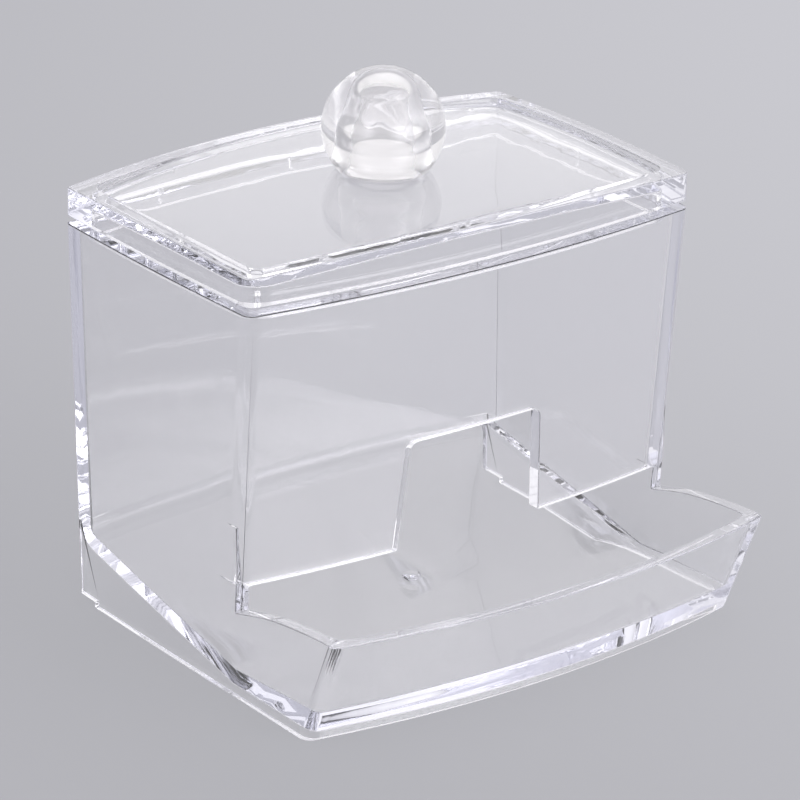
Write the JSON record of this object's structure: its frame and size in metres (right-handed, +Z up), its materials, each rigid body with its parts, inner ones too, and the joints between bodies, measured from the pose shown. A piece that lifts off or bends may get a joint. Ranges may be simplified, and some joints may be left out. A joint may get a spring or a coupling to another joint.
{
  "type": "cotton swab holder",
  "caption": "Clear moulded box that stores cotton swabs and lets them roll into an open tray in front, with a lift-off domed lid and a ball knob.",
  "frame": {"origin": "on the ground, under the middle of the whole holder's outline", "axes": "+X to the right seen from the tray's side, +Y from the tray in front to the back wall, +Z up"},
  "size_m": [0.091, 0.0826, 0.0918],
  "materials": {
    "clear_box": "clear, polished",
    "clear_lid": "clear, polished",
    "clear_ball": "clear, polished"
  },
  "bodies": {
    "box": {"body": "clear_box"},
    "lid": {"lid": "clear_lid", "ball_knob": "clear_ball"}
  },
  "joints": [
    {"name": "lid_lift", "type": "slide", "parent": "box", "child": "lid", "axis": [0, 0, 1], "range_m": [0, 0.06]}
  ]
}
